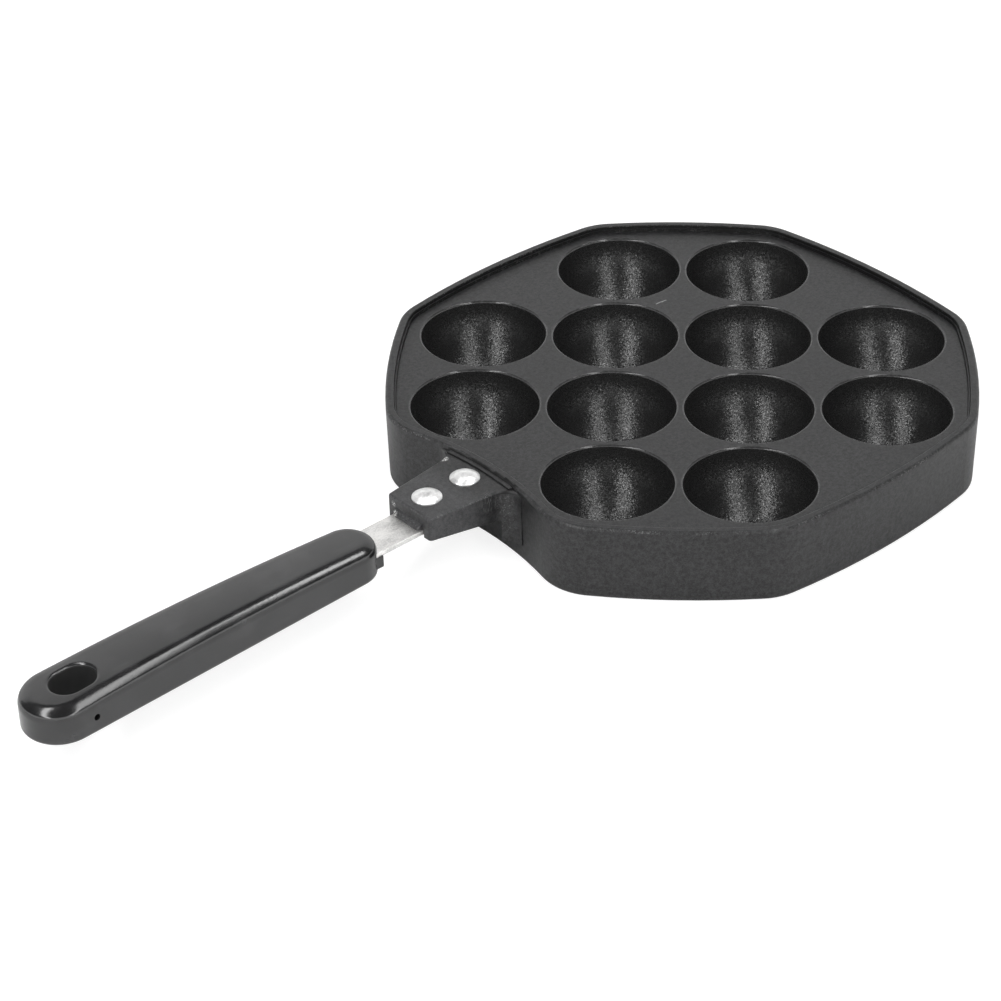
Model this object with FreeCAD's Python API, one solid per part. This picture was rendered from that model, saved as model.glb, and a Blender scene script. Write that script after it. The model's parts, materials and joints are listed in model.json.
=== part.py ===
"""Cast ball-cake pan with a fixed grip: one casting, a riveted tang and a moulded grip.

The base of the skirt is the plane Z = 0. The handle points along -X, the part is the same on
both sides of the XZ plane, and the origin is the centre of the outer box on the base plane.
All sizes are in millimetres.
"""
import FreeCAD
import Part
import math
import os

# ---- cups -------------------------------------------------------------------------------
cup_r = 20.0                # radius of each half-ball cup at the plate
cup_web = 2.5               # narrowest plate between neighbouring cups
cup_rows = 4                # cups along each side of the square grid, corners left out
cup_wall = 2.7              # metal under each cup
cup_edge_r = 0.6            # rounding of each cup's mouth
cup_ground = 0.5            # how far the cup bottoms stay above the base plane

# ---- casting outline, measured at the rim's outer edge -----------------------------------
side_margin = 9.05          # from the outermost cups to the middle of each long side
side_bow_r = 215.0          # radius of the outward bow of the long sides
corner_margin = 9.3         # from the outermost cups to the middle of each cut corner
corner_bow_r = 250.0        # radius of the outward bow of the cut corners
hollow_depth = 6.2          # how far the side behind the handle lies inside its cut corner
hollow_r = 120.0            # radius of that hollowed side
plan_corner_r = 19.0        # rounding where two sides meet

# ---- casting heights and walls -----------------------------------------------------------
plate_top = cup_r + cup_wall + cup_ground
plate_t = 3.2
rim_h = 2.1                 # rim above the plate
rim_w = 2.7                 # flat top of the rim
rim_ledge_h = 1.0           # height of the small ledge inside the rim
rim_ledge_w = 0.35
rim_slope = 0.2             # lean of each of the two inner rim faces
rim_top = plate_top + rim_h
skirt_t = 4.0               # skirt thickness at the base
outer_lean = 0.45           # how far the outer wall leans in at the base
inner_lean = 0.7            # how much thicker the skirt is under the plate
rim_outer_r = 1.0
rim_inner_r = 0.4
foot_r = 1.5

# ---- cast lug, lengths measured from the middle of the hollowed side ----------------------
lug_length = 29.4
lug_rise = 0.8              # lug top above the plate
lug_top = plate_top + lug_rise
lug_end_half = 9.6          # half width at the outer end
lug_root_half = 13.1        # half width where the straight sides would meet the wall
lug_flare_r = 5.5           # hollow rounding between the lug's sides and the wall
lug_flare_rise = 6.0        # foot of those roundings above the base plane
lug_flare_edge = 0.35       # thickness of the roundings where they end below the lug
lug_end_t = 7.7             # thickness at the outer end
lug_root_t = 10.8           # thickness at the wall
lug_corner_r = 1.0
lug_edge_r = 0.7
lug_step_w = 1.4            # low step along the wall on top of the lug
lug_step_h = 0.45
lug_step_r = 0.3
lug_step_half = 14.0
lip_reach = 1.5             # rough lip over the strip at the lug's end
lip_t = 2.2
lip_front_t = 1.0
lip_half = 6.0
lip_end_r = 1.2

# ---- handle strip and rivets -------------------------------------------------------------
handle_drop = 5.3           # middle plane of the handle below the plate
tang_w = 13.0
tang_t = 1.6
tang_edge_r = 0.35
tang_end_r = 3.2            # rounding of the strip's corners at both ends
tang_bare = 15.0            # length of strip that shows between lug and grip
tang_in_grip = 92.0         # length of strip buried in the grip
channel_gap = 0.2           # play between the strip and the channel's side walls
channel_end_gap = 0.5       # play between the strip's inner end and the channel's
rivet_inset = 7.2           # outer rivet to the lug's end
rivet_pitch = 14.9          # between the two rivets
rivet_to_end = 4.5          # inner rivet to the strip's inner end
rivet_head_r = 4.6
rivet_head_h = 2.0
rivet_head_edge = 0.35      # height of the rim of the head under its dome
rivet_shank_r = 2.6
rivet_tail_r = 3.9
rivet_tail_h = 1.5
rivet_tail_edge_r = 0.65
rivet_gap = 0.05            # play of the shank in its holes, on the radius

# ---- grip --------------------------------------------------------------------------------
grip_length = 122.1
grip_front_r = 8.65         # half width and end radius at the front
grip_back_r = 11.3          # half width and end radius at the back
grip_h = 13.25             # height in the middle of its length
grip_centre_up = 0.1        # middle of the grip above the strip's middle plane
grip_crown = 1.7            # how much lower the top is at both ends
grip_top_r = 4.0
grip_bottom_r = 1.5
grip_fit = 0.03             # space between strip and grip
collar_back = 0.5           # front of the moulded collar behind the grip's front
collar_side = 0.3           # collar beyond the strip's edges
collar_up = 0.3             # collar above the strip's underside
collar_h = 3.8
collar_edge_r = 0.25
hang_inset = 16.4           # middle of the hanging hole to the grip's back
hang_length = 14.0
hang_w = 10.6
hang_lip_r = 1.0
pin_hole_r = 1.0            # small hole in the grip's side
pin_hole_back = 0.4         # its place behind the middle of the hanging hole
pin_hole_drop = 1.2         # below the grip's middle
pin_hole_depth = 4.0

# ---- derived, lengths along the handle measured from the pan's centre ---------------------
over = 2.0                  # how far cutting tools run past what they cut
near = 0.01                 # how close two places are when they count as the same
cup_pitch = 2.0 * cup_r + cup_web               # distance between neighbouring cups
last_row = (cup_rows - 1) / 2.0
side_reach = last_row * cup_pitch + cup_r + side_margin
corner_reach = (last_row - 0.5) * cup_pitch * math.sqrt(2.0) + cup_r + corner_margin
hollow_reach = corner_reach - hollow_depth
lug_end_x = hollow_reach + lug_length
rivet_x_out = lug_end_x - rivet_inset
rivet_x_in = rivet_x_out - rivet_pitch
tang_in_x = rivet_x_in - rivet_to_end
grip_front_x = lug_end_x + tang_bare
grip_back_x = grip_front_x + grip_length
hang_x = grip_back_x - hang_inset
pan_x = (grip_back_x - corner_reach) / 2.0      # puts the outer box's centre on X = 0
handle_z = plate_top - handle_drop
tang_top = handle_z + tang_t / 2.0
tang_bottom = handle_z - tang_t / 2.0
grip_bottom = handle_z + grip_centre_up - grip_h / 2.0
grip_top = grip_bottom + grip_h


def vec(x, y, z=0.0):
    return FreeCAD.Vector(x, y, z)


def polar(radius, degrees, z=0.0):
    turn = math.radians(degrees)
    return vec(radius * math.cos(turn), radius * math.sin(turn), z)


def along(start, towards, distance):
    """The point at a distance from start on the way to another point."""
    way = towards - start
    return start + way * (distance / way.Length)


def arc(first, middle, last):
    return Part.Arc(first, middle, last).toShape()


def side_circles():
    """Centre, rim radius and bow (1 outward, -1 hollow) of the eight sides, in turn."""
    sides = []
    for step in range(8):
        turn = 45.0 * step
        if step == 4:
            sides.append((polar(hollow_reach + hollow_r, turn), hollow_r, -1))
        elif step % 2:
            sides.append((polar(side_reach - side_bow_r, turn), side_bow_r, 1))
        else:
            sides.append((polar(corner_reach - corner_bow_r, turn), corner_bow_r, 1))
    return sides


def rounding_centre(first, second, wanted):
    """Centre of the corner circle that touches two side circles, on the inside."""
    c1, r1, bow1 = first
    c2, r2, bow2 = second
    d1 = r1 - bow1 * plan_corner_r
    d2 = r2 - bow2 * plan_corner_r
    across = c2 - c1
    gap = across.Length
    way = across * (1.0 / gap)
    reach = (d1 * d1 - d2 * d2 + gap * gap) / (2.0 * gap)
    height = math.sqrt(d1 * d1 - reach * reach)
    foot = c1 + way * reach
    square = vec(-way.y, way.x)
    ends = [foot + square * height, foot - square * height]
    return min(ends, key=lambda point: (point - wanted).Length)


def outline(inset, z):
    """Closed outline of the casting at a height, moved inwards from the rim's outer edge."""
    sides = side_circles()
    corners = []
    for step in range(8):
        wanted = polar(side_reach, 45.0 * step + 22.5)
        corners.append(rounding_centre(sides[step], sides[(step + 1) % 8], wanted))
    lift = vec(0, 0, z)
    edges = []
    for step in range(8):
        centre, radius, bow = sides[step]
        reach = radius - bow * inset
        before = corners[step - 1]
        after = corners[step]
        first = along(centre, before, reach)
        last = along(centre, after, reach)
        middle = along(centre, (first + last) * 0.5, reach)
        edges.append(arc(first + lift, middle + lift, last + lift))
        following = sides[(step + 1) % 8]
        end = along(following[0], after, following[1] - following[2] * inset)
        between = along(after, (last + end) * 0.5, plan_corner_r - inset)
        edges.append(arc(last + lift, between + lift, end + lift))
    return Part.Wire(edges)


def leaning(low_inset, low_z, high_inset, high_z):
    """Solid between two outlines of the casting at two heights."""
    wires = [outline(low_inset, low_z), outline(high_inset, high_z)]
    return Part.makeLoft(wires, True, True)


def cup_centres():
    """Middle of each cup's mouth, seen from the pan's centre."""
    last = cup_rows - 1
    points = []
    for row in range(cup_rows):
        for column in range(cup_rows):
            if row in (0, last) and column in (0, last):
                continue
            x = (column - last / 2.0) * cup_pitch
            y = (row - last / 2.0) * cup_pitch
            half = math.sqrt(0.5)
            points.append(vec((x + y) * half, (y - x) * half, plate_top))
    return points


def balls(radius):
    return [Part.makeSphere(radius, centre) for centre in cup_centres()]


def flat_edges(shape, z):
    """Edges that lie whole in one level plane."""
    found = []
    for edge in shape.Edges:
        box = edge.BoundBox
        if abs(box.ZMin - z) < near and abs(box.ZMax - z) < near:
            found.append(edge)
    return found


def rounded(shape, edges, radius):
    if not edges:
        raise ValueError("no edge to round")
    return shape.makeFillet(radius, edges)


def crest_loops(shape):
    """Edges round the outside and round the inside of the rim's flat top."""
    crest = next(face for face in shape.Faces if face.BoundBox.ZMin > rim_top - near)
    outside = crest.OuterWire
    inside = next(wire for wire in crest.Wires if not wire.isSame(outside))
    return outside.Edges, inside.Edges


def pan_shell():
    """Outer form with its rim and foot rounded, before the underside is hollowed."""
    ledge_z = plate_top + rim_ledge_h
    upper_in = rim_w + rim_slope
    lower_in = upper_in + rim_ledge_w
    rise = rim_top - ledge_z
    upper = leaning(upper_in, ledge_z, rim_w - rim_slope * over / rise, rim_top + over)
    lower = leaning(lower_in + rim_slope, plate_top, lower_in, ledge_z)
    shell = leaning(outer_lean, 0.0, 0.0, rim_top).cut(upper).cut(lower)
    shell = rounded(shell, crest_loops(shell)[0], rim_outer_r)
    shell = rounded(shell, crest_loops(shell)[1], rim_inner_r)
    return rounded(shell, flat_edges(shell, 0.0), foot_r)


def underside():
    """Space under the plate, between the cups and inside the skirt."""
    inset = outer_lean + skirt_t
    deep = plate_top - plate_t
    room = leaning(inset - inner_lean * over / deep, -over, inset + inner_lean, deep)
    return room.cut(Part.makeCompound(balls(cup_r + cup_wall)))


def lug_side(x):
    """Half width between the lug's straight sides at a distance from the pan's centre."""
    return lug_end_half + (lug_root_half - lug_end_half) * (lug_end_x - x) / lug_length


def flare_points():
    """Start on the lug's side, middle and end on the wall of the hollow rounding there."""
    way = vec(-lug_length, lug_root_half - lug_end_half)
    way.normalize()
    aside = vec(way.y, -way.x)
    first = vec(lug_end_x, lug_end_half) + aside * lug_flare_r
    hub = vec(hollow_reach + hollow_r, 0)
    back = first - hub
    reach = hollow_r - lug_flare_r
    half = back.dot(way)
    centre = first + way * (math.sqrt(half * half - back.dot(back) + reach * reach) - half)
    on_side = centre - aside * lug_flare_r
    on_wall = along(hub, centre, hollow_r)
    return on_side, along(centre, (on_side + on_wall) * 0.5, lug_flare_r), on_wall


def lug_plan(z):
    """Top view of the lug as a closed wire, running on into the wall."""
    def at(x, y):
        return vec(-x, y, z)
    inner_x = hollow_reach - over
    on_side, between, on_wall = flare_points()
    edges = []
    for side in (1, -1):
        start, middle, end = [at(point.x, side * point.y)
                              for point in (on_side, between, on_wall)]
        edges.append(Part.makeLine(at(lug_end_x, side * lug_end_half), start))
        edges.append(arc(start, middle, end))
        edges.append(Part.makeLine(end, at(inner_x, side * on_wall.y)))
    edges.append(Part.makeLine(at(lug_end_x, lug_end_half), at(lug_end_x, -lug_end_half)))
    edges.append(Part.makeLine(at(inner_x, on_wall.y), at(inner_x, -on_wall.y)))
    return Part.Wire(Part.__sortEdges__(edges))


def prism(points, direction):
    """Solid swept from a flat outline of straight lines."""
    return Part.Face(Part.makePolygon(points + points[:1])).extrude(direction)


def lug_under():
    """Room under the lug, up to its sloping underside and between its two flares."""
    low = lug_flare_rise - over
    inner_x = hollow_reach - 2.0 * over
    outer_x = lug_end_x + over
    slope = (lug_root_t - lug_end_t) / lug_length
    z_outer = lug_top - lug_end_t + slope * over
    z_inner = z_outer - slope * (outer_x - inner_x)
    on_side, between, on_wall = flare_points()
    half = on_wall.y + over
    wedge = prism([vec(-inner_x, -half, low), vec(-outer_x, -half, low),
                   vec(-outer_x, -half, z_outer), vec(-inner_x, -half, z_inner)],
                  vec(0, 2.0 * half))
    plan = [vec(-inner_x, lug_side(inner_x) + lug_flare_edge, low),
            vec(-on_side.x, lug_side(on_side.x) + lug_flare_edge, low),
            vec(-on_side.x, half, low), vec(-outer_x, half, low)]
    plan += [vec(point.x, -point.y, low) for point in reversed(plan)]
    return prism(plan, vec(0, 0, lug_top - low)).common(wedge)


def lug_block():
    """Lug with rounded corners and flares that run down the wall."""
    height = lug_top - lug_flare_rise
    block = Part.Face(lug_plan(lug_flare_rise)).extrude(vec(0, 0, height))
    corners = [edge for edge in block.Edges
               if edge.BoundBox.XMax < near - lug_end_x and edge.BoundBox.ZLength > near]
    block = rounded(block, corners, lug_corner_r)
    block = rounded(block, flat_edges(block, lug_top), lug_edge_r)
    return block.cut(lug_under())


def lug_channel():
    """Space for the strip, open below and at the outer end."""
    low = lug_top - lug_root_t - over
    half = tang_w / 2.0 + channel_gap
    length = lug_end_x + over - tang_in_x + channel_end_gap
    return Part.makeBox(length, 2.0 * half, tang_top - low, vec(-lug_end_x - over, -half, low))


def lug_lip():
    """Rough lip of the casting over the strip, with a slanted top and rounded ends."""
    root = over - lug_end_x
    tip = -lug_end_x - lip_reach
    side = [vec(root, -lip_half, tang_top), vec(tip, -lip_half, tang_top),
            vec(tip, -lip_half, tang_top + lip_front_t),
            vec(-lug_end_x, -lip_half, tang_top + lip_t),
            vec(root, -lip_half, tang_top + lip_t)]
    lip = prism(side, vec(0, 2.0 * lip_half))
    ends = [edge for edge in lip.Edges
            if edge.BoundBox.XMax < tip + near and edge.BoundBox.ZLength > near]
    return rounded(lip, ends, lip_end_r)


def lug_step():
    """Low step that follows the wall across the top of the lug."""
    top = lug_top + lug_step_h
    band = leaning(-lug_step_w, lug_top - over, -lug_step_w, top)
    band = rounded(band, flat_edges(band, top), lug_step_r)
    keep = Part.makeBox(2.0 * (over + lug_step_w), 2.0 * lug_step_half, 2.0 * over + lug_step_h,
                        vec(-hollow_reach - over - 2.0 * lug_step_w, -lug_step_half,
                            lug_top - over))
    return band.common(keep)


def pan_body():
    shell = pan_shell()
    lug = lug_block().fuse([lug_step(), lug_lip()])
    body = shell.fuse(lug)
    pocket = leaning(rim_w + rim_slope, plate_top, rim_w, rim_top + over)
    body = body.cut(pocket.cut(shell))
    body = body.cut(underside()).cut(Part.makeCompound(balls(cup_r)))
    mouths = [edge for edge in flat_edges(body, plate_top)
              if abs(edge.BoundBox.XLength - 2.0 * cup_r) < near]
    body = rounded(body, mouths, cup_edge_r)
    body = body.cut(lug_channel())
    for x in (rivet_x_out, rivet_x_in):
        hole = Part.makeCylinder(rivet_shank_r + rivet_gap, lug_root_t + 2.0 * over,
                                 vec(-x, 0, lug_top - lug_root_t - over))
        body = body.cut(hole)
    return body.removeSplitter()


def handle_tang():
    """Flat strip with rounded long edges and corners."""
    length = grip_front_x + tang_in_grip - tang_in_x
    strip = Part.makeBox(length, tang_w, tang_t,
                         vec(-tang_in_x - length, -tang_w / 2.0, tang_bottom))
    ends = [edge for edge in strip.Edges if edge.BoundBox.ZLength > tang_t - near]
    strip = rounded(strip, ends, tang_end_r)
    strip = rounded(strip, flat_edges(strip, tang_top) + flat_edges(strip, tang_bottom),
                    tang_edge_r)
    for x in (rivet_x_out, rivet_x_in):
        strip = strip.cut(Part.makeCylinder(rivet_shank_r + rivet_gap, tang_t + 2.0 * over,
                                            vec(-x, 0, tang_bottom - over)))
    return strip


def rivet(x):
    """Domed head on the lug, shank through lug and strip, flattened tail below the strip."""
    cap = rivet_head_h - rivet_head_edge
    ball_r = (rivet_head_r ** 2 + cap ** 2) / (2.0 * cap)
    head = Part.makeCylinder(rivet_head_r, rivet_head_h, vec(-x, 0, lug_top))
    ball = Part.makeSphere(ball_r, vec(-x, 0, lug_top + rivet_head_h - ball_r))
    head = head.common(ball)
    tail_z = tang_bottom - rivet_tail_h
    shank = Part.makeCylinder(rivet_shank_r, lug_top - tail_z, vec(-x, 0, tail_z))
    tail = Part.makeCylinder(rivet_tail_r, rivet_tail_h, vec(-x, 0, tail_z))
    tail = rounded(tail, flat_edges(tail, tail_z), rivet_tail_edge_r)
    return head.fuse([shank, tail]).removeSplitter()


def grip_plan(z):
    """Two end circles joined by the straight lines that touch both."""
    front = vec(-grip_front_x - grip_front_r, 0, z)
    back = vec(-grip_back_x + grip_back_r, 0, z)
    gap = front.x - back.x
    lean = math.asin((grip_back_r - grip_front_r) / gap)
    up = vec(math.sin(lean), math.cos(lean))
    down = vec(up.x, -up.y)
    ahead = vec(1, 0)
    edges = [arc(front + down * grip_front_r, front + ahead * grip_front_r,
                 front + up * grip_front_r),
             Part.makeLine(front + up * grip_front_r, back + up * grip_back_r),
             arc(back + up * grip_back_r, back - ahead * grip_back_r,
                 back + down * grip_back_r),
             Part.makeLine(back + down * grip_back_r, front + down * grip_front_r)]
    return Part.Wire(edges)


def grip_crown_tool():
    """Everything above the slightly arched top of the grip."""
    half = grip_back_r + over
    half_length = grip_length / 2.0
    radius = (half_length ** 2 + grip_crown ** 2) / (2.0 * grip_crown)
    run = half_length + over
    low = grip_top - radius + math.sqrt(radius ** 2 - run ** 2)
    high = grip_top + over
    middle = -(grip_front_x + grip_back_x) / 2.0
    start = vec(middle - run, -half, low)
    end = vec(middle + run, -half, low)
    above_start = vec(middle - run, -half, high)
    above_end = vec(middle + run, -half, high)
    edges = [arc(start, vec(middle, -half, grip_top), end), Part.makeLine(end, above_end),
             Part.makeLine(above_end, above_start), Part.makeLine(above_start, start)]
    return Part.Face(Part.Wire(edges)).extrude(vec(0, 2.0 * half, 0))


def hanging_hole():
    """Oval hole through the grip, as a cutting tool."""
    low = grip_bottom - over
    radius = hang_w / 2.0
    half = hang_length / 2.0 - radius
    tall = grip_h + 2.0 * over
    left = vec(-hang_x - half, 0, low)
    right = vec(-hang_x + half, 0, low)
    middle = Part.makeBox(2.0 * half, hang_w, tall, left - vec(0, radius))
    ends = [Part.makeCylinder(radius, tall, left), Part.makeCylinder(radius, tall, right)]
    return middle.fuse(ends).removeSplitter()


def tang_room():
    """The strip's space inside the grip, larger by its fit all round."""
    return Part.makeBox(tang_in_grip + grip_fit + over, tang_w + 2.0 * grip_fit,
                        tang_t + 2.0 * grip_fit,
                        vec(-grip_front_x - tang_in_grip - grip_fit, -tang_w / 2.0 - grip_fit,
                            tang_bottom - grip_fit))


def grip_collar():
    """Moulded collar under the strip where it enters the grip."""
    half = tang_w / 2.0 + collar_side
    front = -grip_front_x - collar_back
    collar = Part.makeBox(grip_front_r, 2.0 * half, collar_h,
                          vec(front - grip_front_r, -half, tang_bottom + collar_up - collar_h))
    nose = [edge for edge in collar.Edges if edge.BoundBox.XMin > front - near]
    return rounded(collar, nose, collar_edge_r)


def handle_grip():
    """Moulded grip with an arched top, an oval hanging hole and a collar at its front."""
    grip = Part.Face(grip_plan(grip_bottom)).extrude(vec(0, 0, grip_h))
    grip = grip.cut(grip_crown_tool())
    tops = [edge for edge in grip.Edges if edge.BoundBox.ZMin > grip_bottom + grip_h / 2.0]
    grip = rounded(grip, tops, grip_top_r)
    grip = rounded(grip, flat_edges(grip, grip_bottom), grip_bottom_r)
    grip = grip.cut(hanging_hole())
    lips = [edge for edge in grip.Edges
            if abs(edge.BoundBox.Center.x + hang_x) < hang_length / 2.0
            and edge.BoundBox.YLength < hang_w + near and edge.BoundBox.ZLength < grip_h / 4.0
            and edge.BoundBox.XLength < hang_length]
    grip = rounded(grip, lips, hang_lip_r)
    grip = grip.fuse(grip_collar()).cut(tang_room())
    pin = Part.makeCylinder(pin_hole_r, pin_hole_depth + over,
                            vec(-hang_x - pin_hole_back, -grip_back_r - over,
                                handle_z + grip_centre_up - pin_hole_drop), vec(0, 1, 0))
    return grip.cut(pin)


def save(name, shape):
    shape.translate(vec(pan_x, 0))
    solids = shape.Solids
    if len(solids) != 1 or not shape.isValid():
        raise ValueError(f"{name} is not one sound solid")
    solids[0].exportStep(f"parts/{name}.step")


os.makedirs("parts", exist_ok=True)
save("pan_body", pan_body())
save("handle_tang", handle_tang())
save("handle_grip", handle_grip())
save("rivet_outer", rivet(rivet_x_out))
save("rivet_inner", rivet(rivet_x_in))
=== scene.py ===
"""Finish, light and camera for a cast ball-cake pan with a riveted strip and a moulded grip.

In the frame x runs from the grip's butt to the far side of the pan and z up from the skirt's foot.
"""
import json
import math

import bmesh
import bpy
from mathutils import Matrix, Vector


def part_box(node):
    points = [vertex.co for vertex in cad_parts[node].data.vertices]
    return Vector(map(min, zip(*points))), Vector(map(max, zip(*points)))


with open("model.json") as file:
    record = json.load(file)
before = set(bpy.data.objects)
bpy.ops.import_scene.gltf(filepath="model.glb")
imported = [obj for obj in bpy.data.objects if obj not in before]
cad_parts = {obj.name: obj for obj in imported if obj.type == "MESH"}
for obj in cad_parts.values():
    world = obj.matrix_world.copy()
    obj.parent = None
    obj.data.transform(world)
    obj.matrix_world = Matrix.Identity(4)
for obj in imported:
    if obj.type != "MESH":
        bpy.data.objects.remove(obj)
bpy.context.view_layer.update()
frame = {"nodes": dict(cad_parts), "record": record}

bl_info = {
    "name": "Ball-cake pan finish",
    "version": (1, 0, 0),
    "blender": (4, 5, 0),
    "location": "View3D > Sidebar > Pan",
    "description": "Dresses the pan's casting, strip, rivets and grip, and lights them",
    "category": "Object",
}

MM = 0.001
UP = Vector((0.0, 0.0, 1.0))
WHITE = (1.0, 1.0, 1.0)
EVEN = (1.0, 1.0, 1.0)


def at(x, y, z):
    """Point whose distances are given in millimetres."""
    return (x * MM, y * MM, z * MM)


def opening_centres(kind):
    """Middles, seen from above, of the openings whose names in the record start with a word."""
    stated = frame["record"]["physics"]["openings"]
    boxes = [item["box_m"] for item in stated if item["name"].startswith(kind)]
    return [Vector(((low[0] + high[0]) / 2, (low[1] + high[1]) / 2)) for low, high in boxes]


# ---- places on the pan -------------------------------------------------------------------

CUPS = opening_centres("cup")
PAN_CENTRE = sum(CUPS, Vector((0.0, 0.0))) / len(CUPS)
CUP_PITCH = min((CUPS[0] - other).length for other in CUPS[1:])

# The rounded edge of the cups' mouths: half its width, how far below the plate it reaches, and
# the depth at which the cups' lining begins. Masks on the casting end softly over EDGE_SOFT.
MOUTH_HALF_WIDTH = 0.5 * MM
MOUTH_DEPTH = 0.7 * MM
LINING_DEPTH = 0.5 * MM
EDGE_SOFT = 0.4 * MM

# The lug: its end towards the grip, the top of the rough lip there, where its coating turns
# paler than the plate's, and half its width.
PAN_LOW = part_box("pan_body")[0]
LUG_END = PAN_LOW[0]
LUG_LIP = 20.6 * MM
LUG_MIDDLE = -15.0 * MM
LUG_HALF_WIDTH = 15.0 * MM

# Round spots on the lug, as a middle and a radius: coarse skin, then chips in the coating.
COARSE_SIDE = (at(-11.5, -12.0, 21.5), 4.0 * MM)
COARSE_ROOT = (at(-6.5, -13.3, 19.5), 4.5 * MM)
COARSE_FOOT = (at(-6.0, -14.0, 13.0), 5.0 * MM)
CHIPS = (
    (at(-8.1, 12.2, 24.0), 1.7 * MM),
    (at(-33.2, 6.9, 21.7), 1.4 * MM),
    (at(-33.9, 5.2, 19.6), 1.5 * MM),
)

# One scratch on the plate, between the cups.
SCRATCH_START = Vector((102.9, 34.9)) * MM
SCRATCH_END = Vector((107.2, 34.4)) * MM
SCRATCH_WIDTH = 0.17 * MM

GRIP_LOW, GRIP_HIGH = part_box("handle_grip")
GRIP_TOP = GRIP_HIGH[2]
GRIP_MIDDLE = (GRIP_LOW[1] + GRIP_HIGH[1]) / 2
GRIP_HALF_WIDTH = (GRIP_HIGH[1] - GRIP_LOW[1]) / 2

# The hanging hole: two half rounds joined by a straight run, with a rounded edge above a wall
# painted dark as shade.
HOLE_CENTRE = opening_centres("hanging_hole")[0]
HOLE_HALF_RUN = 1.7 * MM
HOLE_RADIUS = 5.3 * MM
HOLE_EDGE = 1.6 * MM
HOLE_SHADE_COLOUR = (0.001, 0.001, 0.001)

# ---- stage -------------------------------------------------------------------------------

# The camera's sensor in millimetres, the nearest distance it sees, and the height the lamps face.
SENSOR_WIDTH = 36.0
NEAREST_SEEN = 0.01
LAMP_AIM_HEIGHT = 0.02

# The sweep, in metres along the view from the frame's origin: flat floor, bend and upright wall.
SWEEP_NEAR = -4.0
SWEEP_BEND = 3.0
SWEEP_RADIUS = 1.2
SWEEP_STEPS = 12
SWEEP_TOP = 5.0
SWEEP_HALF_WIDTH = 5.0

# The floor's colour as it lights the object, its colour and glow as the camera sees it, and the
# glow of the backdrop in mirrors, which starts at a distance and fades at a height.
FLOOR_LIT = (0.88, 0.88, 0.88)
FLOOR_SEEN = (0.36, 0.36, 0.36)
FLOOR_GLOW = 0.78
BACKDROP_GLOW = 0.45
BACKDROP_DISTANCE = 1.1
BACKDROP_HEIGHT = 3.2

# The room's walls are bright up to a rise, the sine of an angle above the horizon, and fade there.
WALL_RISE = 0.31
WALL_FADE = 0.22


# ---- settings ----------------------------------------------------------------------------

class CoatingSettings(bpy.types.PropertyGroup):
    """Dark non-stick coating of the casting."""

    colour: bpy.props.FloatVectorProperty(
        name="Coating colour", description="Colour of the coating on the casting",
        subtype="COLOR", size=3, min=0.0, max=1.0, default=(0.0125, 0.0125, 0.0130))
    lining: bpy.props.FloatVectorProperty(
        name="Cup lining", description="Colour of the coating inside the cups",
        subtype="COLOR", size=3, min=0.0, max=1.0, default=(0.043, 0.043, 0.043))
    worn: bpy.props.FloatVectorProperty(
        name="Worn spots", description="Colour of the coating where it is thin or rough",
        subtype="COLOR", size=3, min=0.0, max=1.0, default=(0.16, 0.16, 0.16))
    # Painted shade: a dark colour for the rim's walls towards the cups and the lug, in place of
    # their shade.
    painted_wall_shade: bpy.props.FloatVectorProperty(
        name="Rim's inner wall", description="Colour of the coating on the rim's inner wall",
        subtype="COLOR", size=3, min=0.0, max=1.0, default=(0.018, 0.018, 0.018))
    metal: bpy.props.FloatVectorProperty(
        name="Bare metal", description="Colour of the casting where the coating is chipped",
        subtype="COLOR", size=3, min=0.0, max=1.0, default=(0.62, 0.62, 0.61))
    roughness: bpy.props.FloatProperty(
        name="Roughness", description="Roughness of the coating on the plate",
        subtype="FACTOR", min=0.0, max=1.0, default=0.42)
    grain: bpy.props.FloatProperty(
        name="Grain size", description="Width of one grain of the coating",
        subtype="DISTANCE", unit="LENGTH", min=0.00005, max=0.005, default=0.00028)
    glitter: bpy.props.FloatProperty(
        name="Glitter size", description="Width of one grain of the cups' lining",
        subtype="DISTANCE", unit="LENGTH", min=0.00005, max=0.005, default=0.00024)
    tilt: bpy.props.FloatProperty(
        name="Glitter tilt", description="How far the grains of the lining tip, as a slope",
        min=0.0, max=1.0, default=0.115)
    plate_height: bpy.props.FloatProperty(
        name="Plate height", description="Height of the plate above the skirt's foot",
        subtype="DISTANCE", unit="LENGTH", default=0.0232)
    cup_radius: bpy.props.FloatProperty(
        name="Cup radius", description="Radius of each cup at the plate",
        subtype="DISTANCE", unit="LENGTH", default=0.020)


class HandleSettings(bpy.types.PropertyGroup):
    """Strip, rivets and grip."""

    strip_colour: bpy.props.FloatVectorProperty(
        name="Strip colour", description="Colour of the brushed strip",
        subtype="COLOR", size=3, min=0.0, max=1.0, default=(0.865, 0.855, 0.84))
    rivet_colour: bpy.props.FloatVectorProperty(
        name="Rivet colour", description="Colour of the rivet heads",
        subtype="COLOR", size=3, min=0.0, max=1.0, default=(0.90, 0.90, 0.895))
    grip_colour: bpy.props.FloatVectorProperty(
        name="Grip colour", description="Colour of the moulded grip",
        subtype="COLOR", size=3, min=0.0, max=1.0, default=(0.016, 0.016, 0.0165))
    grip_roughness: bpy.props.FloatProperty(
        name="Grip roughness", description="Roughness of the moulded grip",
        subtype="FACTOR", min=0.0, max=1.0, default=0.17)
    crown_slope: bpy.props.FloatProperty(
        name="Crown slope", description="Slope of the grip's top at its sides",
        min=0.0, max=0.5, default=0.10)
    edge_slope: bpy.props.FloatProperty(
        name="Edge slope", description="Share of the top edge's slope that shows",
        min=0.05, max=1.0, default=0.55)
    bevel_slope: bpy.props.FloatProperty(
        name="Bevel slope", description="Slope past which the top edge steepens half as fast",
        min=0.05, max=2.0, default=0.52)


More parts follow.
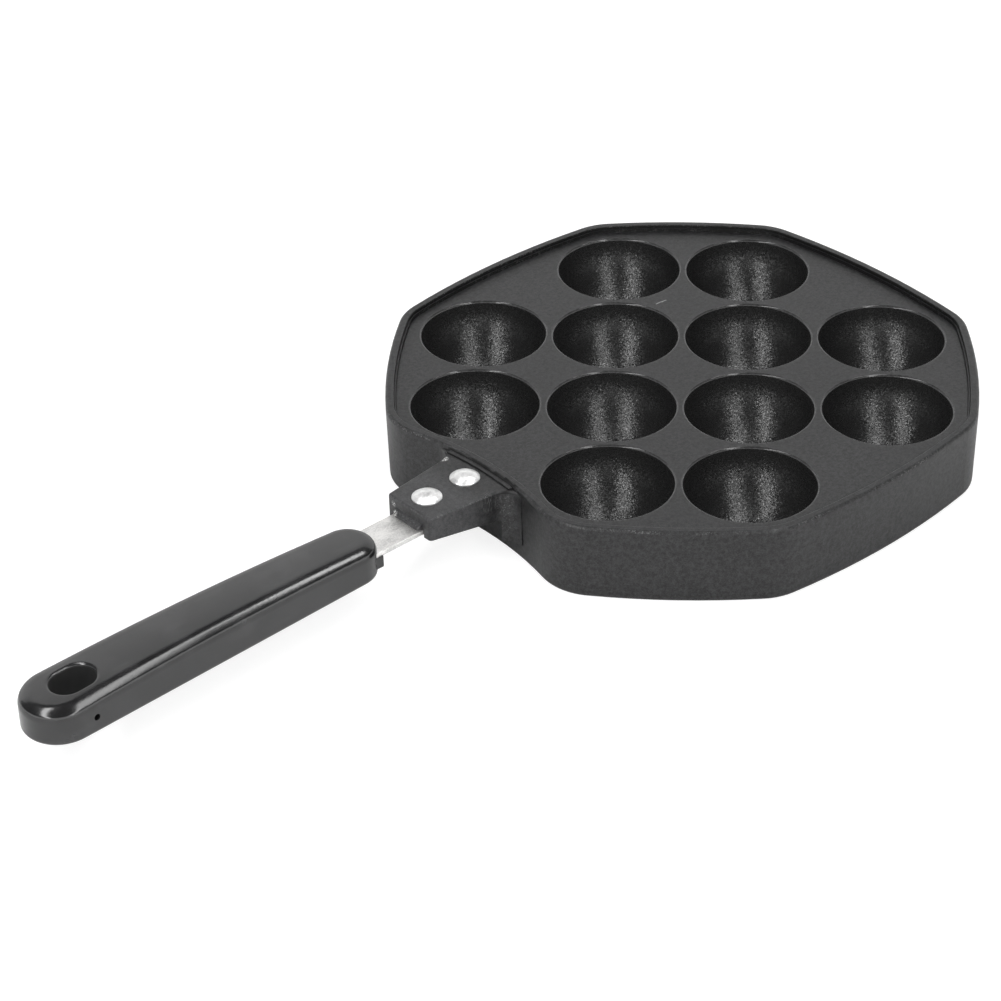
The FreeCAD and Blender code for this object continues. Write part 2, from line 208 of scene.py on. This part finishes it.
class StudioSettings(bpy.types.PropertyGroup):
    """Camera, lamps and room."""

    lens: bpy.props.FloatProperty(
        name="Lens", description="Focal length on a 36 mm wide sensor",
        subtype="DISTANCE_CAMERA", default=110.47)
    distance: bpy.props.FloatProperty(
        name="Distance", description="From the camera to the point it looks at",
        subtype="DISTANCE", unit="LENGTH", default=0.9161)
    heading: bpy.props.FloatProperty(
        name="Heading", description="Direction the camera looks in, turned from +Y towards +X",
        subtype="ANGLE", unit="ROTATION", default=math.radians(40.8))
    elevation: bpy.props.FloatProperty(
        name="Elevation", description="How far the camera looks down",
        subtype="ANGLE", unit="ROTATION", default=math.radians(34.189))
    roll: bpy.props.FloatProperty(
        name="Roll", description="Turn of the camera about its own axis",
        subtype="ANGLE", unit="ROTATION", default=math.radians(-1.502))
    aim: bpy.props.FloatVectorProperty(
        name="Aim", description="Point the camera looks at",
        subtype="TRANSLATION", unit="LENGTH", size=3, default=(-0.00669, -0.01185, 0.020))
    left_radiance: bpy.props.FloatProperty(
        name="Left softbox", description="Brightness of the left softbox",
        min=0.0, default=9.9)
    right_radiance: bpy.props.FloatProperty(
        name="Right softbox", description="Brightness of the right softbox",
        min=0.0, default=6.7)
    side_radiance: bpy.props.FloatProperty(
        name="Side softbox", description="Brightness of the short softbox on the right",
        min=0.0, default=14.0)
    side_width: bpy.props.FloatProperty(
        name="Side softbox width", description="Width of the short softbox",
        subtype="DISTANCE", unit="LENGTH", default=0.11)
    softbox_width: bpy.props.FloatProperty(
        name="Softbox width", description="Width of each long softbox",
        subtype="DISTANCE", unit="LENGTH", default=0.13)
    left_high: bpy.props.FloatVectorProperty(
        name="Left softbox, high end",
        description="Upper end of the left softbox from the pan: right, ahead and up",
        subtype="TRANSLATION", unit="LENGTH", size=3, default=(-0.38, 0.32, 1.12))
    left_low: bpy.props.FloatVectorProperty(
        name="Left softbox, low end",
        description="Lower end of the left softbox from the pan: right, ahead and up",
        subtype="TRANSLATION", unit="LENGTH", size=3, default=(-0.50, -0.98, 0.25))
    right_high: bpy.props.FloatVectorProperty(
        name="Right softbox, high end",
        description="Upper end of the right softbox from the pan: right, ahead and up",
        subtype="TRANSLATION", unit="LENGTH", size=3, default=(0.16, 0.30, 1.08))
    right_low: bpy.props.FloatVectorProperty(
        name="Right softbox, low end",
        description="Lower end of the right softbox from the pan: right, ahead and up",
        subtype="TRANSLATION", unit="LENGTH", size=3, default=(0.34, -0.86, 0.20))
    side_high: bpy.props.FloatVectorProperty(
        name="Side softbox, far end",
        description="Far end of the short softbox from the pan: right, ahead and up",
        subtype="TRANSLATION", unit="LENGTH", size=3, default=(0.30, 0.30, 1.05))
    side_low: bpy.props.FloatVectorProperty(
        name="Side softbox, near end",
        description="Near end of the short softbox from the pan: right, ahead and up",
        subtype="TRANSLATION", unit="LENGTH", size=3, default=(0.56, 0.18, 1.00))
    overhead: bpy.props.FloatProperty(
        name="Overhead", description="Brightness of the room overhead", min=0.0, default=0.10)
    horizon: bpy.props.FloatProperty(
        name="Horizon", description="Brightness of the room's walls", min=0.0, default=2.0)


# ---- shader maths ------------------------------------------------------------------------

class Wire:
    """Output of a node. An expression on it adds Math nodes to its material."""

    def __init__(self, shade, output):
        self.shade = shade
        self.output = output

    def out(self, name):
        """Another output of the same node."""
        return Wire(self.shade, self.output.node.outputs[name])

    def __add__(self, other):
        return self.shade.math("ADD", self, other)

    __radd__ = __add__

    def __sub__(self, other):
        return self.shade.math("SUBTRACT", self, other)

    def __rsub__(self, other):
        return self.shade.math("SUBTRACT", other, self)

    def __mul__(self, other):
        return self.shade.math("MULTIPLY", self, other)

    __rmul__ = __mul__

    def __truediv__(self, other):
        return self.shade.math("DIVIDE", self, other)

    def __pow__(self, other):
        return self.shade.math("POWER", self, other)

    def fraction(self):
        return self.shade.math("FRACT", self)

    def size(self):
        return self.shade.math("ABSOLUTE", self)

    def larger(self, other):
        return self.shade.math("MAXIMUM", self, other)

    def smaller(self, other):
        return self.shade.math("MINIMUM", self, other)

    def above(self, limit, soft):
        """0 below a limit, 1 above it, with a soft step of a given width."""
        settings = {"interpolation_type": "SMOOTHSTEP"}
        ends = {0: self, 1: limit - soft / 2, 2: limit + soft / 2}
        return self.shade.add("ShaderNodeMapRange", settings, ends)

    def below(self, limit, soft):
        """1 below a limit, 0 above it, with a soft step of a given width."""
        return 1.0 - self.above(limit, soft)


class Shade:
    """Nodes of a material or world, added by expressions."""

    def __init__(self, owner):
        owner.use_nodes = True
        self.owner = owner
        self.tree = owner.node_tree
        self.tree.nodes.clear()
        self.place = self.add("ShaderNodeTexCoord").out("Object")
        self.x, self.y, self.z = self.parts(self.place)

    def add(self, kind, settings=None, inputs=None):
        """Any node: its settings first, then the values or links of its sockets."""
        node = self.tree.nodes.new(kind)
        for key, value in (settings or {}).items():
            setattr(node, key, value)
        for key, value in (inputs or {}).items():
            if isinstance(value, Wire):
                self.tree.links.new(value.output, node.inputs[key])
            else:
                node.inputs[key].default_value = value
        return Wire(self, node.outputs[0]) if node.outputs else None

    def math(self, operation, *values):
        return self.add("ShaderNodeMath", {"operation": operation}, dict(enumerate(values)))

    def vector(self, operation, **sockets):
        """Vector Math node; its sockets are named first, second and scale."""
        names = {"first": 0, "second": 1, "scale": 3}
        inputs = {names[key]: value for key, value in sockets.items()}
        return self.add("ShaderNodeVectorMath", {"operation": operation}, inputs)

    def parts(self, vector):
        """The three numbers of a vector."""
        split = self.add("ShaderNodeSeparateXYZ", inputs={0: vector})
        return split.out("X"), split.out("Y"), split.out("Z")

    def joined(self, x, y, z):
        """Vector of three numbers."""
        return self.add("ShaderNodeCombineXYZ", inputs={0: x, 1: y, 2: z})

    def facing(self):
        """Normal of the mesh, without any relief."""
        return self.add("ShaderNodeNewGeometry").out("Normal")

    def distance(self, point):
        return self.vector("DISTANCE", first=self.place, second=point).out("Value")

    def spot(self, point, radius):
        """Soft round patch about a point: 1 at the point, 0 outside the radius."""
        return self.distance(point).below(radius * 0.7, radius * 0.6)

    def noise(self, width, detail=2.0, roughness=0.5, stretch=EVEN):
        """Cloudy pattern from 0 to 1, with features of about a given width in metres."""
        vector = self.place
        if stretch != EVEN:
            vector = self.vector("MULTIPLY", first=vector, second=stretch)
        inputs = {"Vector": vector, "Scale": 1.0 / width, "Detail": detail, "Roughness": roughness}
        return self.add("ShaderNodeTexNoise", {"noise_dimensions": "3D"}, inputs)

    def cells(self, width):
        """Random colour for each of many small grains."""
        inputs = {"Vector": self.place, "Scale": 1.0 / width}
        return self.add("ShaderNodeTexVoronoi", {"feature": "F1"}, inputs).out("Color")

    def grains(self, width):
        """Random level from 0 to 1 for each of many small grains."""
        return self.add("ShaderNodeSeparateColor", inputs={0: self.cells(width)})

    def tipped(self, width, slope):
        """Normal that each of many small grains tips its own way, by up to a slope."""
        way = self.vector("SUBTRACT", first=self.cells(width), second=(0.5, 0.5, 0.5))
        lean = self.vector("SCALE", first=way, scale=slope * 2.0)
        leaning = self.vector("ADD", first=self.facing(), second=lean)
        return self.vector("NORMALIZE", first=leaning)

    def bump(self, height, depth, strength=1.0, below=None):
        """Normal of a relief whose height runs from 0 to 1 over a depth in metres."""
        inputs = {"Height": height, "Distance": depth, "Strength": strength}
        if below:
            inputs["Normal"] = below
        return self.add("ShaderNodeBump", {}, inputs)

    def mix(self, factor, first, second):
        """Colour between two colours. A Mix node has them in sockets 6 and 7, and out of 2."""
        inputs = {0: factor, 6: opaque(first), 7: opaque(second)}
        made = self.add("ShaderNodeMix", {"data_type": "RGBA"}, inputs)
        return Wire(self, made.output.node.outputs[2])

    def tinted(self, colour, level, low, high):
        """A colour times a factor that runs from low to high as a level runs from 0 to 1."""
        return self.mix(level, [part * low for part in colour], [part * high for part in colour])

    def finish(self, **sockets):
        """Principled surface. Underscores in the sockets' names stand for spaces."""
        inputs = {key.replace("_", " "): value for key, value in sockets.items()}
        surface = self.add("ShaderNodeBsdfPrincipled", {}, inputs)
        self.add("ShaderNodeOutputMaterial", {}, {"Surface": surface})
        return self.owner


def opaque(colour):
    """Colour with the fourth number that a socket asks for; a wire stays as it is."""
    return colour if isinstance(colour, Wire) else (*colour, 1.0)


def diagonal(first, second):
    """Length of the line across a rectangle from its two sides."""
    return (first * first + second * second) ** 0.5


def new_shade(name):
    return Shade(bpy.data.materials.new(name))


# ---- casting -----------------------------------------------------------------------------

def cup_masks(shade, settings):
    """Two masks: the inside of the cups, and the rounded edge of their mouths.

    The cups stand in four rows and four columns, turned by 45 degrees and without the corners.
    """
    turned = math.sqrt(0.5) / CUP_PITCH
    along = shade.x - PAN_CENTRE.x
    across = shade.y - PAN_CENTRE.y
    row = (along - across) * turned
    column = (along + across) * turned
    outer = row.size().larger(column.size())
    inner = row.size().smaller(column.size())
    in_grid = outer.below(2.0, 0.001) * inner.below(1.0, 0.001)
    reach = diagonal(row.fraction() - 0.5, column.fraction() - 0.5) * CUP_PITCH
    upward = shade.parts(shade.facing())[2]
    upper_face = upward.above(-0.02, 0.02) * in_grid
    inside = reach.below(settings.cup_radius + 0.3 * MM, EDGE_SOFT)
    sunk = shade.z.below(settings.plate_height - LINING_DEPTH, EDGE_SOFT)
    ring = (reach - settings.cup_radius - 0.1 * MM).size().below(MOUTH_HALF_WIDTH, EDGE_SOFT)
    high = shade.z.above(settings.plate_height - MOUTH_DEPTH, 0.3 * MM)
    return inside * sunk * upper_face, ring * high * upper_face


def raised_edges(shade, settings):
    """Masks above the plate: rounded edges, and painted shade on the rim's walls by the cups and
    lug.
    """
    facing = shade.facing()
    forward, _, upward = shade.parts(facing)
    high = shade.z.above(settings.plate_height - 0.1 * MM, 0.2 * MM)
    rounded = (upward - 0.55).size().below(0.36, 0.10)
    centre = (PAN_CENTRE.x, PAN_CENTRE.y, settings.plate_height)
    outward = shade.vector("SUBTRACT", first=shade.place, second=centre)
    spread = shade.vector("DOT_PRODUCT", first=facing, second=outward).out("Value")
    inward = spread.below(0.0, 0.01)
    backward = forward.below(-0.35, 0.50)
    over_lug = shade.x.above(LUG_MIDDLE, 1.0 * MM) * shade.y.size().below(LUG_HALF_WIDTH, 2.0 * MM)
    cup_side = inward * upward.below(0.68, 0.20)
    lug_side = backward * over_lug * upward.below(0.85, 0.20) * 0.8
    return rounded * high * (1.0 - lug_side), (cup_side + lug_side) * high


def rough_cast(shade):
    """Where the casting is left coarse, as two masks: drawn upward, and pitted."""
    drawn = shade.spot(*COARSE_SIDE)
    end = shade.x.below(LUG_END + 1.0 * MM, 0.5 * MM) * shade.z.below(LUG_LIP, 0.8 * MM)
    pitted = shade.spot(*COARSE_ROOT) + shade.spot(*COARSE_FOOT) * 0.6 + end
    return drawn, pitted.smaller(1.0)


def scratch(shade, start, end, width):
    """Mask of one wavering scratch between two points on the plate."""
    run = end - start
    way = run.normalized()
    along = (shade.x - start.x) * way.x + (shade.y - start.y) * way.y
    across = (shade.x - start.x) * way.y - (shade.y - start.y) * way.x
    waver = (shade.noise(1.5 * MM) - 0.5) * (5.0 * width)
    inside = along.above(0.0, EDGE_SOFT) * along.below(run.length, EDGE_SOFT)
    return (across + waver).size().below(width, width) * inside


def bare_spots(shade):
    """Chips and a scratch that go through the coating."""
    broken = shade.noise(0.45 * MM).above(0.50, 0.08)
    chips = sum(shade.spot(point, radius) for point, radius in CHIPS)
    return chips * broken + scratch(shade, SCRATCH_START, SCRATCH_END, SCRATCH_WIDTH) * 0.45


def coated_casting(settings):
    """Sprayed satin coating: fine grain on the plate, tipped glittering grains in the cups."""
    shade = new_shade("coated_casting")
    in_cup, mouth = cup_masks(shade, settings)
    drawn, pitted = rough_cast(shade)
    edge, wall = raised_edges(shade, settings)
    on_plate = 1.0 - in_cup
    wall = wall * on_plate * (1.0 - mouth)
    on_lug = shade.x.below(LUG_MIDDLE, 8.0 * MM)
    bare = bare_spots(shade)

    grain = shade.grains(settings.grain)
    ripple = shade.noise(0.8 * MM, detail=3.0, roughness=0.6)
    peel = shade.noise(1.8 * MM)
    cloud = shade.noise(18.0 * MM, detail=4.0)
    mottle = shade.noise(1.3 * MM, detail=3.0, roughness=0.65)
    streak = shade.noise(0.35 * MM, detail=3.0, stretch=(1.0, 1.0, 0.12))
    pit = shade.noise(0.6 * MM, detail=3.0, roughness=0.65)

    relief = ripple * 0.5 + peel * 0.3 + drawn * streak * 2.0 + pitted * pit * 2.4
    lean = shade.tipped(settings.glitter, in_cup * settings.tilt)
    normal = shade.bump(relief, 0.05 * MM, below=lean)

    tone = 0.5 + (grain - 0.5) * 0.7 + (mottle - 0.5) * 2.4 + (cloud - 0.5) * 0.3
    plate_paint = shade.tinted(settings.colour, tone, 0.1, 1.9)
    lug_paint = shade.tinted(settings.colour, tone, 1.4, 3.8)
    lining = shade.tinted(settings.lining, grain, 0.85, 1.15)
    colour = shade.mix(in_cup, shade.mix(on_lug, plate_paint, lug_paint), lining)

    coarse_flecks = drawn * streak.above(0.57, 0.08) * 0.8 + pitted * pit.above(0.60, 0.08) * 0.5
    edge_flecks = edge * on_plate * pit.above(0.58, 0.12) * cloud.above(0.50, 0.20) * 0.6
    worn = mouth * ripple * 0.30 + coarse_flecks + edge_flecks
    # Painted shade: the rim's walls towards the cups and the lug take a dark colour, made fully
    # metallic below, standing in for the shade there.
    colour = shade.mix(wall, colour, settings.painted_wall_shade)
    colour = shade.mix(worn, colour, settings.worn)
    colour = shade.mix(bare, colour, settings.metal)

    rough = settings.roughness + (ripple - 0.5) * 0.2 + (cloud - 0.5) * 0.08
    rough = rough - in_cup * (0.10 + grain.above(0.60, 0.30) * 0.16) - mouth * 0.28
    metal = in_cup * 0.75 + wall
    metal = metal + (worn + bare) * (0.9 - metal)
    return shade.finish(Base_Color=colour, Metallic=metal, Roughness=rough, IOR=1.45,
                        Normal=normal)


# ---- handle ------------------------------------------------------------------------------

def brushed_strip(settings):
    """Cold-rolled steel strip with lengthwise lines, stains and fine pits."""
    shade = new_shade("brushed_strip")
    lines = shade.noise(0.16 * MM, detail=3.0, roughness=0.7, stretch=(0.06, 1.0, 1.0))
    pits = shade.noise(0.45 * MM, detail=4.0, roughness=0.75)
    cloud = shade.noise(3.0 * MM, detail=3.0, stretch=(0.5, 1.0, 1.0))
    normal = shade.bump(lines, 0.010 * MM, strength=0.5)
    normal = shade.bump(pits, 0.020 * MM, strength=0.6, below=normal)
    stain = (cloud - 0.5) * 2.0 + (pits - 0.5) * 2.6 + (lines - 0.5) * 1.2 + 0.70
    colour = shade.tinted(settings.strip_colour, stain, 0.60, 1.0)
    rough = 0.36 + lines * 0.16 + (pits - 0.5) * 0.2
    return shade.finish(Base_Color=colour, Metallic=1.0, Roughness=rough, Normal=normal)


def struck_rivet(settings):
    """Dull bright aluminium head with shallow facets left by the rivet set."""
    shade = new_shade("struck_rivet")
    dents = shade.noise(2.2 * MM, detail=1.5)
    fine = shade.noise(0.35 * MM, detail=3.0, roughness=0.65)
    normal = shade.bump(dents, 0.32 * MM, strength=0.9)
    normal = shade.bump(fine, 0.016 * MM, strength=0.6, below=normal)
    stain = (dents - 0.5) * 2.4 + (fine - 0.5) * 1.6 + 0.7
    colour = shade.tinted(settings.rivet_colour, stain, 0.66, 1.0)
    rough = 0.36 + fine * 0.14
    return shade.finish(Base_Color=colour, Metallic=1.0, Roughness=rough, Normal=normal)


def hanging_hole(shade):
    """Mask of the wall inside the grip's hanging hole, below its rounded edge, where shade is
    painted.
    """
    along = ((shade.x - HOLE_CENTRE.x).size() - HOLE_HALF_RUN).larger(0.0)
    across = shade.y - HOLE_CENTRE.y
    inside = diagonal(along, across).below(HOLE_RADIUS + 0.35 * MM, 0.3 * MM)
    return inside * shade.z.below(GRIP_TOP - HOLE_EDGE, 0.8 * MM)


def grip_facing(shade, settings):
    """Normal of the grip's skin: a low crown across the top, and a broad bevel round it."""

    def flattened(normal, share):
        """Normal whose level part is cut to a share of it."""
        return shade.vector("MULTIPLY", first=normal, second=shade.joined(share, share, 1.0))

    facing = shade.facing()
    on_top = shade.parts(facing)[2].above(0.5, 0.14)
    flatter = flattened(facing, 1.0 - on_top * (1.0 - settings.edge_slope))
    fall = (shade.y - GRIP_MIDDLE) / GRIP_HALF_WIDTH * on_top * settings.crown_slope
    crowned = shade.vector("ADD", first=flatter, second=shade.joined(0.0, fall, 0.0))
    along, across, upward = shade.parts(crowned)
    slope = diagonal(along, across) / upward.larger(0.05) + 0.001
    excess = (slope - settings.bevel_slope).larger(0.0) * on_top * 0.50
    bevelled = flattened(crowned, 1.0 - excess / slope)
    return shade.vector("NORMALIZE", first=bevelled)


def moulded_grip(settings):
    """Glossy thermoset with a crowned top, haze and fine rubs; matt, with painted shade, inside the
    hole.
    """
    shade = new_shade("moulded_grip")
    in_hole = hanging_hole(shade)
    ripple = shade.noise(7.0 * MM, stretch=(0.35, 1.0, 1.0))
    haze = shade.noise(14.0 * MM, detail=4.0, roughness=0.6)
    rubs = shade.noise(2.0 * MM, detail=3.0, roughness=0.6, stretch=(0.3, 1.0, 1.0))
    fine = shade.noise(0.5 * MM, detail=3.0, roughness=0.6)
    normal = shade.bump(ripple, 0.05 * MM, strength=0.35, below=grip_facing(shade, settings))
    normal = shade.bump(fine, 0.004 * MM, strength=0.5, below=normal)
    dust = (haze - 0.45) * 1.4 + (rubs - 0.5) * 0.9
    colour = shade.tinted(settings.grip_colour, dust, 0.6, 2.6)
    # Painted shade: the wall inside the hanging hole is painted near black.
    colour = shade.mix(in_hole, colour, HOLE_SHADE_COLOUR)
    rough = settings.grip_roughness + (haze - 0.5) * 0.10 + (fine - 0.5) * 0.06
    rough = rough + in_hole * (0.85 - rough)
    return shade.finish(Base_Color=colour, Roughness=rough, IOR=1.6, Normal=normal)


def dress(node, material):
    """Gives a CAD node its material."""
    mesh = frame["nodes"][node].data
    mesh.materials.clear()
    mesh.materials.append(material)


# ---- camera, lamps and room --------------------------------------------------------------

def new_object(name, data):
    """Object of some data, linked to the scene."""
    item = bpy.data.objects.new(name, data)
    bpy.context.scene.collection.objects.link(item)
    return item


def placed(place, across, up, back):
    """Matrix of an object at a place, from the directions of its own three axes."""
    return Matrix.Translation(place) @ Matrix((across, up, back)).transposed().to_4x4()


def view_axes(studio):
    """Level forward direction of the camera and the direction to its right."""
    ahead = Vector((math.sin(studio.heading), math.cos(studio.heading), 0.0))
    return ahead, ahead.cross(UP)


def add_camera(studio):
    """Camera that looks at the aim point, turned about its own axis by the roll."""
    ahead, level = view_axes(studio)
    sight = (ahead * math.cos(studio.elevation) - UP * math.sin(studio.elevation)).normalized()
    right = level * math.cos(studio.roll) + level.cross(sight) * math.sin(studio.roll)
    data = bpy.data.cameras.new("product_camera")
    data.sensor_width = SENSOR_WIDTH
    data.lens = studio.lens
    data.clip_start = NEAREST_SEEN
    camera = new_object("product_camera", data)
    place = Vector(studio.aim) - sight * studio.distance
    camera.matrix_world = placed(place, right, right.cross(sight), -sight)
    bpy.context.scene.camera = camera


def add_softbox(name, high, low, target, width, radiance):
    """Long rectangular lamp between two points, turned to face a target."""
    place = (high + low) / 2
    length = (high - low).length
    data = bpy.data.lights.new(name, "AREA")
    data.shape = "RECTANGLE"
    data.size = width
    data.size_y = length
    data.energy = radiance * math.pi * width * length
    along = (high - low).normalized()
    side = along.cross(place - target).normalized()
    new_object(name, data).matrix_world = placed(place, side, along, side.cross(along))


def add_lamps(studio):
    """Two long softboxes from overhead down past the camera, and a short one high on the right."""
    ahead, right = view_axes(studio)
    centre = Vector((PAN_CENTRE.x, PAN_CENTRE.y, LAMP_AIM_HEIGHT))

    def point(place):
        return centre + right * place[0] + ahead * place[1] + UP * place[2]

    add_softbox("softbox_left", point(studio.left_high), point(studio.left_low), centre,
                studio.softbox_width, studio.left_radiance)
    add_softbox("softbox_right", point(studio.right_high), point(studio.right_low), centre,
                studio.softbox_width, studio.right_radiance)
    add_softbox("softbox_side", point(studio.side_high), point(studio.side_low), centre,
                studio.side_width, studio.side_radiance)


def floor_material():
    """Pale floor, white to the camera except where the object shades it.

    Mirrored in the object it is the lit floor close by and the white backdrop far away.
    """
    shade = new_shade("pale_floor")
    path = shade.add("ShaderNodeLightPath")
    seen = path.out("Is Camera Ray") + path.out("Is Transmission Ray")
    mirrored = path.out("Is Glossy Ray")
    cloud = shade.noise(0.4)
    far = shade.distance((PAN_CENTRE.x, PAN_CENTRE.y, 0.0)).above(BACKDROP_DISTANCE, 1.4)
    backdrop = far * shade.z.below(BACKDROP_HEIGHT, 3.0) * BACKDROP_GLOW
    body = shade.mix(seen, FLOOR_LIT, FLOOR_SEEN)
    glow = seen * (FLOOR_GLOW + cloud * 0.02) + mirrored * backdrop
    surface = shade.add("ShaderNodeBsdfDiffuse", {}, {"Color": body})
    light = shade.add("ShaderNodeEmission", {}, {"Color": opaque(WHITE), "Strength": glow})
    both = shade.add("ShaderNodeAddShader", {}, {0: surface, 1: light})
    shade.add("ShaderNodeOutputMaterial", {}, {"Surface": both})
    return shade.owner


def add_floor(studio):
    """Floor and backdrop as one sweep that bends upward far behind the object."""
    ahead, right = view_axes(studio)
    outline = [(SWEEP_NEAR, 0.0), (SWEEP_BEND, 0.0)]
    for step in range(1, SWEEP_STEPS + 1):
        turn = math.radians(90.0 * step / SWEEP_STEPS)
        depth = SWEEP_BEND + SWEEP_RADIUS * math.sin(turn)
        outline.append((depth, SWEEP_RADIUS * (1.0 - math.cos(turn))))
    outline.append((SWEEP_BEND + SWEEP_RADIUS, SWEEP_TOP))
    sides = (-SWEEP_HALF_WIDTH, SWEEP_HALF_WIDTH)
    mesh = bmesh.new()
    rows = []
    for depth, height in outline:
        middle = ahead * depth + UP * height
        rows.append([mesh.verts.new(middle + right * side) for side in sides])
    for near, far in zip(rows, rows[1:]):
        face = mesh.faces.new((near[0], near[1], far[1], far[0]))
        face.smooth = True
    data = bpy.data.meshes.new("studio_sweep")
    mesh.to_mesh(data)
    mesh.free()
    data.materials.append(floor_material())
    floor = new_object("studio_sweep", data)


def add_world(studio):
    """White where it is seen; as light and in mirrors bright walls and a dimmer ceiling."""
    world = bpy.data.worlds.new("white_room")
    shade = Shade(world)
    rise = shade.parts(shade.place.out("Generated"))[2]
    walls = rise.below(WALL_RISE, WALL_FADE)
    room = studio.overhead + walls * (studio.horizon - studio.overhead)
    seen = shade.add("ShaderNodeLightPath").out("Is Camera Ray")
    strength = room + seen * (1.0 - room)
    back = shade.add("ShaderNodeBackground", {}, {"Color": opaque(WHITE), "Strength": strength})
    shade.add("ShaderNodeOutputWorld", {}, {"Surface": back})
    bpy.context.scene.world = world


# ---- operators ---------------------------------------------------------------------------

class PAN_OT_casting(bpy.types.Operator):
    """Coats the casting"""

    bl_idname = "pan.casting"
    bl_label = "Coat the casting"

    def execute(self, context):
        dress("pan_body", coated_casting(context.scene.pan_coating))
        return {"FINISHED"}


class PAN_OT_strip(bpy.types.Operator):
    """Brushes the handle's strip"""

    bl_idname = "pan.strip"
    bl_label = "Brush the strip"

    def execute(self, context):
        dress("handle_tang", brushed_strip(context.scene.pan_handle))
        return {"FINISHED"}


class PAN_OT_rivets(bpy.types.Operator):
    """Finishes both rivets"""

    bl_idname = "pan.rivets"
    bl_label = "Finish the rivets"

    def execute(self, context):
        material = struck_rivet(context.scene.pan_handle)
        for node in ("rivet_outer", "rivet_inner"):
            dress(node, material)
        return {"FINISHED"}


class PAN_OT_grip(bpy.types.Operator):
    """Glosses the grip"""

    bl_idname = "pan.grip"
    bl_label = "Gloss the grip"

    def execute(self, context):
        dress("handle_grip", moulded_grip(context.scene.pan_handle))
        return {"FINISHED"}


class PAN_OT_stage(bpy.types.Operator):
    """Adds the camera, lamps, floor and room"""

    bl_idname = "pan.stage"
    bl_label = "Set the stage"

    def execute(self, context):
        studio = context.scene.pan_studio
        add_camera(studio)
        add_lamps(studio)
        add_floor(studio)
        add_world(studio)
        context.scene.view_settings.view_transform = "Standard"
        return {"FINISHED"}


class PAN_PT_sidebar(bpy.types.Panel):
    """Lists the settings and the steps that dress the pan"""

    bl_idname = "PAN_PT_sidebar"
    bl_label = "Ball-cake pan"
    bl_space_type = "VIEW_3D"
    bl_region_type = "UI"
    bl_category = "Pan"

    def draw(self, context):
        for name, group in SETTINGS:
            box = self.layout.box()
            for entry in group.__annotations__:
                box.prop(getattr(context.scene, name), entry)
        for step in STEPS:
            self.layout.operator(step.bl_idname)


SETTINGS = (
    ("pan_coating", CoatingSettings),
    ("pan_handle", HandleSettings),
    ("pan_studio", StudioSettings),
)
STEPS = (PAN_OT_casting, PAN_OT_strip, PAN_OT_rivets, PAN_OT_grip, PAN_OT_stage)


def register():
    for name, group in SETTINGS:
        bpy.utils.register_class(group)
        setattr(bpy.types.Scene, name, bpy.props.PointerProperty(type=group))
    for entry in (*STEPS, PAN_PT_sidebar):
        bpy.utils.register_class(entry)


def unregister():
    for entry in (PAN_PT_sidebar, *reversed(STEPS)):
        bpy.utils.unregister_class(entry)
    for name, group in reversed(SETTINGS):
        delattr(bpy.types.Scene, name)
        bpy.utils.unregister_class(group)


def main():
    register()
    bpy.ops.pan.casting()
    bpy.ops.pan.strip()
    bpy.ops.pan.rivets()
    bpy.ops.pan.grip()
    bpy.ops.pan.stage()


if __name__ == "__main__":
    main()
